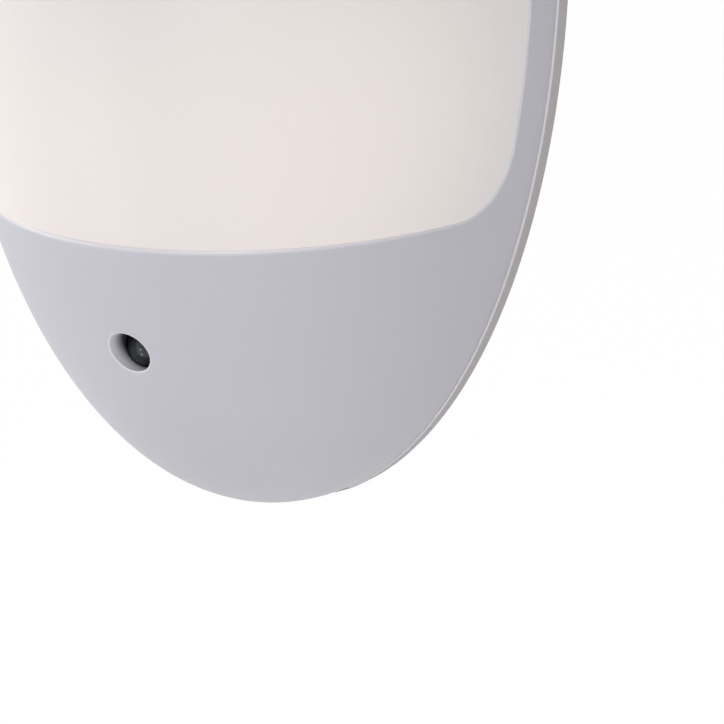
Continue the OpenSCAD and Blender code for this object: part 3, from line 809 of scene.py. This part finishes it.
# %% Hook ledges
# a ledge's width, how far it stands in from the wall and how deep it is rooted in it (mm)
LEDGE_W, LEDGE_REACH, LEDGE_SUNK = 10.0, 1.0, 0.6
# where it starts and ends out from the house wall, and how far above or below the middle a side one is
LEDGE_FROM, LEDGE_TO = 3.4, 4.4
HOOK_RISE = 25.0


def oval_ring(inset, out):
    """A ring round the body's oval, drawn in by an inset, some mm out from the wall."""
    def place(n):
        turn = 2 * math.pi * n / AROUND
        across, up = (HALF_W - inset) * math.cos(turn), (HALF_H - inset) * math.sin(turn)
        return Vector((across, -out, OVAL_Z + up))
    return place


def ledge(spot, half_span, inwards):
    """One ledge: what two cuts across the ring and one behind it leave of the ring."""
    corners = ((WALL - LEDGE_SUNK, LEDGE_FROM), (WALL + LEDGE_REACH, LEDGE_FROM),
               (WALL + LEDGE_REACH, LEDGE_TO), (WALL - LEDGE_SUNK, LEDGE_TO))
    bm = shell([oval_ring(inset, out) for inset, out in corners])
    for sign in (-1, 1):
        cut_off(bm, spot + half_span * sign, half_span.normalized() * sign)
    cut_off(bm, spot, inwards)
    return bm


for side in (-1, 1):
    for rise in (-HOOK_RISE, HOOK_RISE):
        spot = Vector((side * HALF_W / 2, 0, OVAL_Z + rise))
        join(housing_mesh, ledge(spot, Vector((0, 0, LEDGE_W / 2)), Vector((-side, 0, 0))))
spot = Vector((0, 0, OVAL_Z + HALF_H / 2))
join(housing_mesh, ledge(spot, Vector((LEDGE_W / 2, 0, 0)), Vector((0, 0, -1))))
finish_piece(housing_mesh, "silver_housing", silver_abs, "front_housing")

# %% [markdown]
# ## Back cover
# The cover is a flat oval plate that stands a hair proud of the housing, so that its front edge, with a
# painted highlight on its radius, draws a bright line round the body. Its rear edge has a larger radius, for
# the hand that pulls the light out.
# A notch in the lower edge lets a screwdriver open the snap fit, and a window holds the blades' block.

# %% Edge and notch of the cover
# the notch's width, height and depth (mm), how far its ends lean (radians), and its inner margin (mm)
NOTCH_W, NOTCH_H, NOTCH_DEPTH = 14.0, 0.9, 1.5
NOTCH_LEAN, NOTCH_MARGIN = 0.004, 0.05
turns = [2 * math.pi * n / AROUND for n in range(AROUND)]
notch_turn = math.acos(NOTCH_W / 2 / (HALF_W + COVER_PROUD))
first = next(n for n in range(3 * AROUND // 4, AROUND) if math.cos(turns[n]) * HALF_W > NOTCH_W / 2)
for step, past in ((0, 0.0), (-1, NOTCH_LEAN)):
    turns[first + step] = 2 * math.pi - notch_turn - past
    turns[3 * AROUND // 2 - first - step] = math.pi + notch_turn + past
in_notch = [
    math.sin(t) < 0 and abs(math.cos(t)) * (HALF_W + COVER_PROUD) < NOTCH_W / 2 - NOTCH_MARGIN for t in turns
]


def cover_edge(inset, out, notched=False):
    """A ring of the cover's edge. Where it is notched, the notch's points lie farther in."""
    def place(n):
        drawn_in = NOTCH_DEPTH + inset if notched and in_notch[n] else inset - COVER_PROUD
        across, up = (HALF_W - drawn_in) * math.cos(turns[n]), (HALF_H - drawn_in) * math.sin(turns[n])
        return Vector((across, -out, OVAL_Z + up))
    return place


print("points in the notch:", sum(in_notch))

# %% Window of the cover
WINDOW_W, WINDOW_H = 20.1, 11.1
# the radius of the window's mouth at the back (mm)
MOUTH_R = 0.15
# keeps a division from zero
TINY = 1e-9
window_corner = {}
for right in (-1, 1):
    for up in (-1, 1):
        corner = Vector((right * WINDOW_W / 2, 0, up * WINDOW_H / 2))
        ray = corner.normalized()
        closest = min(range(AROUND), key=lambda n: -cover_edge(0, 0)(n).normalized().dot(ray))
        window_corner[closest] = corner


def window(n, out, grow=0.0):
    """A point on the edge of the cover's window."""
    ray = cover_edge(0, 0)(n)
    reach = min(WINDOW_W / 2 / max(abs(ray.x), TINY), WINDOW_H / 2 / max(abs(ray.z), TINY))
    edge = window_corner.get(n, ray * reach)
    return Vector((edge.x * (1 + grow * 2 / WINDOW_W), -out, edge.z * (1 + grow * 2 / WINDOW_H)))


print("points at the window's corners:", sorted(window_corner))

# %% Rings of the cover
# the radius of the front edge and of the rear edge (mm)
FRONT_R, REAR_R = 0.2, 0.6
# the painted highlight on the front edge, from its foot at the housing round to the side
COVER_EDGE_HIGHLIGHT = (0.4, 0.4, 0.2, 0.0, 0.0)
# where the flat faces have their rings, as shares of the way from the edge to the window
FACE_RINGS = (0.1, 0.4, 0.7)


def plate(share, out, inset, notched=False):
    """A ring on a flat face, a share of the way from the edge to the window."""
    edge = cover_edge(inset, out, notched)
    return lambda n: edge(n).lerp(window(n, out, MOUTH_R), share)


cover_rings = [cover_edge(across, COVER_T - down, True) for across, down in rounding(FRONT_R)]
cover_rings += [cover_edge(0.0, COVER_T - NOTCH_H, True), cover_edge(0.0, COVER_T - NOTCH_H)]
cover_rings += [cover_edge(across, down) for across, down in reversed(rounding(REAR_R))]
cover_rings += [plate(share, 0.0, REAR_R) for share in FACE_RINGS]
cover_rings += [lambda n, a=across, d=down: window(n, d, a) for across, down in rounding(MOUTH_R, 2)]
cover_rings += [lambda n: window(n, COVER_T)]
cover_rings += [plate(share, COVER_T, FRONT_R, True) for share in reversed(FACE_RINGS)]
cover_mesh = shell(cover_rings, painted_light_and_shade_rings=dict(enumerate(COVER_EDGE_HIGHLIGHT)))
print("cover rings:", len(cover_rings))

# %% [markdown]
# What stands on the cover inside the body, its lip, hooks, posts and bosses, has its true shape in the
# CAD node already. A merged copy of it is cut off just in front of the plate, and the feet are sunk into
# the new plate, as if moulded with it.

# %% Lip, hooks and posts
# how far in front of the plate the copy is cut, and how deep its feet go into the plate (mm)
FOOT_CUT, FOOT_SUNK = 0.02, 0.3
# points of a CAD copy that are closer than this are merged, in m
SAME_CAD_SPOT = 0.0005 * MM
inside = bmesh.new()
inside.from_mesh(nodes["back_cover"].data)
bmesh.ops.remove_doubles(inside, verts=inside.verts, dist=SAME_CAD_SPOT)
feet = cut_off(inside, (0, -COVER_T - FOOT_CUT, 0), (0, 1, 0))
bmesh.ops.translate(inside, verts=list(feet), vec=(0, (FOOT_CUT + FOOT_SUNK) * MM, 0))
print("points on the feet:", len(feet))
join(cover_mesh, inside)
finish_piece(cover_mesh, "oval_back_cover", cover_abs, "back_cover")

# %% [markdown]
# ## Blades and their block
# The blades are stamped from brass strip and nickel-plated: the plating is a bright metal with fine
# scratches along the blade, from being pushed into outlets. The screws are plated too, with zinc. The
# shape of blades and block is right in the CAD model, so a copy of it is merged, its flat faces are
# joined again, and its edges get a small bevel.

# %% Metals
# the lines run the way a blade is pushed: how much they are drawn out, and the clouding's size
LINE_STRETCH = (1, 0.06, 1)
TARNISH_MM = 4.0


def drawn_metal(name, colour, tarnish, roughness, line_mm):
    """Plated metal with fine lines along the blades and slight clouding."""
    material, tree = new_tree(name)
    place = add(tree, "ShaderNodeTexCoord").outputs["Object"]
    lines_at = add(tree, "ShaderNodeMapping", {
        "Vector": place, "Scale": tuple(s / (line_mm * MM) for s in LINE_STRETCH),
    })
    lines = add(tree, "ShaderNodeTexNoise", {"Vector": lines_at.outputs[0], "Scale": 1.0, "Detail": 2.0})
    cloud = add(tree, "ShaderNodeTexNoise", {"Vector": place, "Scale": 1 / (TARNISH_MM * MM), "Detail": 2.0})
    tone = add(tree, "ShaderNodeMix", {
        0: cloud.outputs["Fac"], 6: linear(colour), 7: linear(tarnish),
    }, data_type="RGBA")
    rough = add(tree, "ShaderNodeMapRange", {
        "Value": lines.outputs["Fac"], "To Min": roughness - 0.08, "To Max": roughness + 0.1,
    })
    relief = add(tree, "ShaderNodeBump", {
        "Height": lines.outputs["Fac"], "Distance": 0.003 * MM, "Strength": 0.5,
    })
    skin = add(tree, "ShaderNodeBsdfPrincipled", {
        "Base Color": tone.outputs[2], "Roughness": rough.outputs[0],
        "Normal": relief.outputs[0], "Metallic": 1.0,
    })
    add(tree, "ShaderNodeOutputMaterial", {"Surface": skin.outputs[0]})
    return material


# nickel on brass: a warm, bright metal with a soft mirror image
nickel_plate = drawn_metal("nickel_plated_brass", "#cfc8b8", "#bdb5a3", 0.28, 0.12)
# zinc on steel: a cool, duller metal
zinc_plate = drawn_metal("zinc_plated_steel", "#c2c5c9", "#aeb2b8", 0.34, 0.08)
print("metals:", nickel_plate.name, zinc_plate.name)

# %% Pieces that keep the CAD shape and get fine edges
# faces that turn by less than FLAT are joined, and edges that turn by more than BEND are bevelled
FLAT, BEND = math.radians(0.5), math.radians(30)
# the bevels' widths (mm)
BLOCK_EDGE, BLADE_EDGE = 0.12, 0.1


def with_fine_edges(node, name, material, width_mm):
    """A copy of a CAD node, merged and joined to flat faces again, with its sharp edges bevelled."""
    bm = bmesh.new()
    bm.from_mesh(nodes[node].data)
    bmesh.ops.remove_doubles(bm, verts=bm.verts, dist=SAME_CAD_SPOT)
    bmesh.ops.dissolve_limit(bm, angle_limit=FLAT, verts=bm.verts, edges=bm.edges)
    sharp = [e for e in bm.edges if e.is_manifold and e.calc_face_angle(0) > BEND]
    bmesh.ops.bevel(
        bm, geom=sharp, offset=width_mm * MM, offset_type="OFFSET", affect="EDGES", segments=2,
        profile=0.5, material=-1, clamp_overlap=True,
    )
    bmesh.ops.triangulate(bm, faces=[f for f in bm.faces if len(f.verts) > 4])
    finish_piece(bm, name, material, node)


with_fine_edges("blade_holder", "blade_block", holder_pbt, BLOCK_EDGE)
with_fine_edges("live_blade", "narrow_blade", nickel_plate, BLADE_EDGE)
with_fine_edges("neutral_blade", "wide_blade", nickel_plate, BLADE_EDGE)

# %% [markdown]
# ## Sensor
# The sensor is the common 5 mm package: epoxy cast in a domed mould over a small flange. Its epoxy is
# dyed nearly black, which lets infrared through and gives the look of a dark, glossy bead at the bottom
# of its bore. A profile spun round its axis makes the dome, and the axis is then turned out of the wall.
# The lamps have the same shape, but don't show, and keep their CAD shape.

# %% Dark epoxy
# the dye's clouding (mm)
SWIRL_MM = 1.2
dark_epoxy, tree = new_tree("dark_dyed_epoxy")
place = add(tree, "ShaderNodeTexCoord").outputs["Object"]
swirl = add(tree, "ShaderNodeTexNoise", {"Vector": place, "Scale": 1 / (SWIRL_MM * MM), "Detail": 2.0})
tone = add(tree, "ShaderNodeMix", {
    0: swirl.outputs["Fac"], 6: linear("#0b1011"), 7: linear("#1a2424"),
}, data_type="RGBA")
wipe = add(tree, "ShaderNodeMapRange", {"Value": swirl.outputs["Fac"], "To Min": 0.14, "To Max": 0.2})
skin = add(tree, "ShaderNodeBsdfPrincipled", {
    "Base Color": tone.outputs[2], "Roughness": wipe.outputs[0], "IOR": 1.55,
})
add(tree, "ShaderNodeOutputMaterial", {"Surface": skin.outputs[0]})
print("sensor's epoxy:", dark_epoxy.name)

# %% Domed sensor
# the dome's radius and the flange's thickness (mm), the dome's steps and the steps round
DOME_R, SENSOR_FLANGE_T = 2.5, 1.0
DOME_STEPS, SPIN_STEPS = 16, 64
low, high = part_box("light_sensor")
flange_r, flange_t = (high.x - low.x) / 2, SENSOR_FLANGE_T * MM
radius, foot, tip = DOME_R * MM, -high.y, -low.y
profile = [(0.0, foot), (flange_r, foot), (flange_r, foot + flange_t), (radius, foot + flange_t)]
for step in range(DOME_STEPS):
    angle = math.pi / 2 * step / DOME_STEPS
    profile.append((radius * math.cos(angle), tip - radius + radius * math.sin(angle)))
profile.append((0.0, tip))
sensor_mesh = bmesh.new()
verts = [sensor_mesh.verts.new((r, 0, out)) for r, out in profile]
edges = [sensor_mesh.edges.new(pair) for pair in zip(verts, verts[1:])]
bmesh.ops.spin(
    sensor_mesh, geom=verts + edges, cent=(0, 0, 0), axis=(0, 0, 1), dvec=(0, 0, 0),
    angle=2 * math.pi, steps=SPIN_STEPS, use_merge=True, use_duplicate=False,
)
bmesh.ops.remove_doubles(sensor_mesh, verts=sensor_mesh.verts, dist=SAME_SPOT)
out_of_wall = Matrix.Rotation(math.pi / 2, 3, "X")
bmesh.ops.rotate(sensor_mesh, verts=sensor_mesh.verts, cent=(0, 0, 0), matrix=out_of_wall)
centre = ((low.x + high.x) / 2, 0, (low.z + high.z) / 2)
bmesh.ops.translate(sensor_mesh, verts=sensor_mesh.verts, vec=centre)
finish_piece(sensor_mesh, "dusk_sensor", dark_epoxy, "light_sensor")

# %% [markdown]
# ## Inner parts
# Nothing inside shows in the photograph, yet each CAD node gets its real finish, so that the model also
# holds up with its lens off: a paper board, a yellow film capacitor, a sleeved can, a blue absorber,
# resistors with a dull lacquer and diodes in black epoxy or in glass.

# %% Inner finishes
def lacquer(name, colour, second, roughness, grain_mm):
    """A dipped, sleeved or cast skin whose tone drifts between two colours at the size of its grain."""
    material, tree = new_tree(name)
    place = add(tree, "ShaderNodeTexCoord").outputs["Object"]
    mottle = add(tree, "ShaderNodeTexNoise", {"Vector": place, "Scale": 1 / (grain_mm * MM), "Detail": 3.0})
    tone = add(tree, "ShaderNodeMix", {
        0: mottle.outputs["Fac"], 6: linear(colour), 7: linear(second),
    }, data_type="RGBA")
    rough = add(tree, "ShaderNodeMapRange", {
        "Value": mottle.outputs["Fac"], "To Min": roughness - 0.06, "To Max": roughness + 0.08,
    })
    relief = add(tree, "ShaderNodeBump", {
        "Height": mottle.outputs["Fac"], "Distance": 0.01 * MM, "Strength": 0.4,
    })
    skin = add(tree, "ShaderNodeBsdfPrincipled", {
        "Base Color": tone.outputs[2], "Roughness": rough.outputs[0],
        "Normal": relief.outputs[0], "IOR": 1.5,
    })
    add(tree, "ShaderNodeOutputMaterial", {"Surface": skin.outputs[0]})
    return material


# name: two colours, roughness, size of the grain (mm), and the nodes that have this finish
INNER = {
    "phenolic_paper_board": ("#b98c50", "#c99e62", 0.5, 0.6, ["circuit_board"]),
    "clear_lamp_epoxy": ("#efe9cf", "#f6f1dc", 0.12, 1.5, ["lamp_1", "lamp_2", "lamp_3"]),
    "yellow_capacitor_case": ("#c49a2f", "#d0a63c", 0.35, 1.0, ["dropper_capacitor"]),
    "shrunk_dark_sleeve": ("#1d2a36", "#26343f", 0.3, 0.8, ["smoothing_capacitor"]),
    "blue_dipped_coating": ("#2a6599", "#3473a8", 0.25, 0.6, ["surge_absorber"]),
    "green_cement_coating": ("#56805e", "#648f6d", 0.7, 0.3, ["fusible_resistor"]),
    "beige_resistor_lacquer": ("#c2a97f", "#ceb68e", 0.45, 0.5, [
        "bleed_resistor", "bias_resistor_1", "bias_resistor_2", "bias_resistor_3",
    ]),
    "black_moulded_epoxy": ("#1b1b1d", "#29292c", 0.5, 0.3, [
        "rectifier_diode_1", "rectifier_diode_2", "rectifier_diode_3", "rectifier_diode_4", "transistor",
    ]),
    "diode_glass": ("#a8482a", "#b95a38", 0.1, 0.8, ["zener_diode"]),
    "black_wire_insulation": ("#212121", "#2d2d2d", 0.4, 0.5, ["live_wire"]),
    "white_wire_insulation": ("#dfdfdb", "#e9e9e6", 0.4, 0.5, ["neutral_wire"]),
}
print("inner finishes:", len(INNER))

# %% Finishes on the CAD nodes
finishes = {}
for name, (*look, owners) in INNER.items():
    made = lacquer(name, *look)
    finishes.update({owner: made for owner in owners})
finishes.update(reflector=white_pp, board_screws=zinc_plate, reflector_screws=zinc_plate)
for owner, material in finishes.items():
    nodes[owner].data.materials.clear()
    nodes[owner].data.materials.append(material)
print("CAD nodes with a finish:", len(finishes))

# %% [markdown]
# ## Size
# The box of the dressed model is printed, so that it can be set beside the box of the CAD model printed at
# the start.

# %% Sizes
low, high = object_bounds()
print("dressed box in mm:", [round((b - a) / MM, 2) for a, b in zip(low, high)])
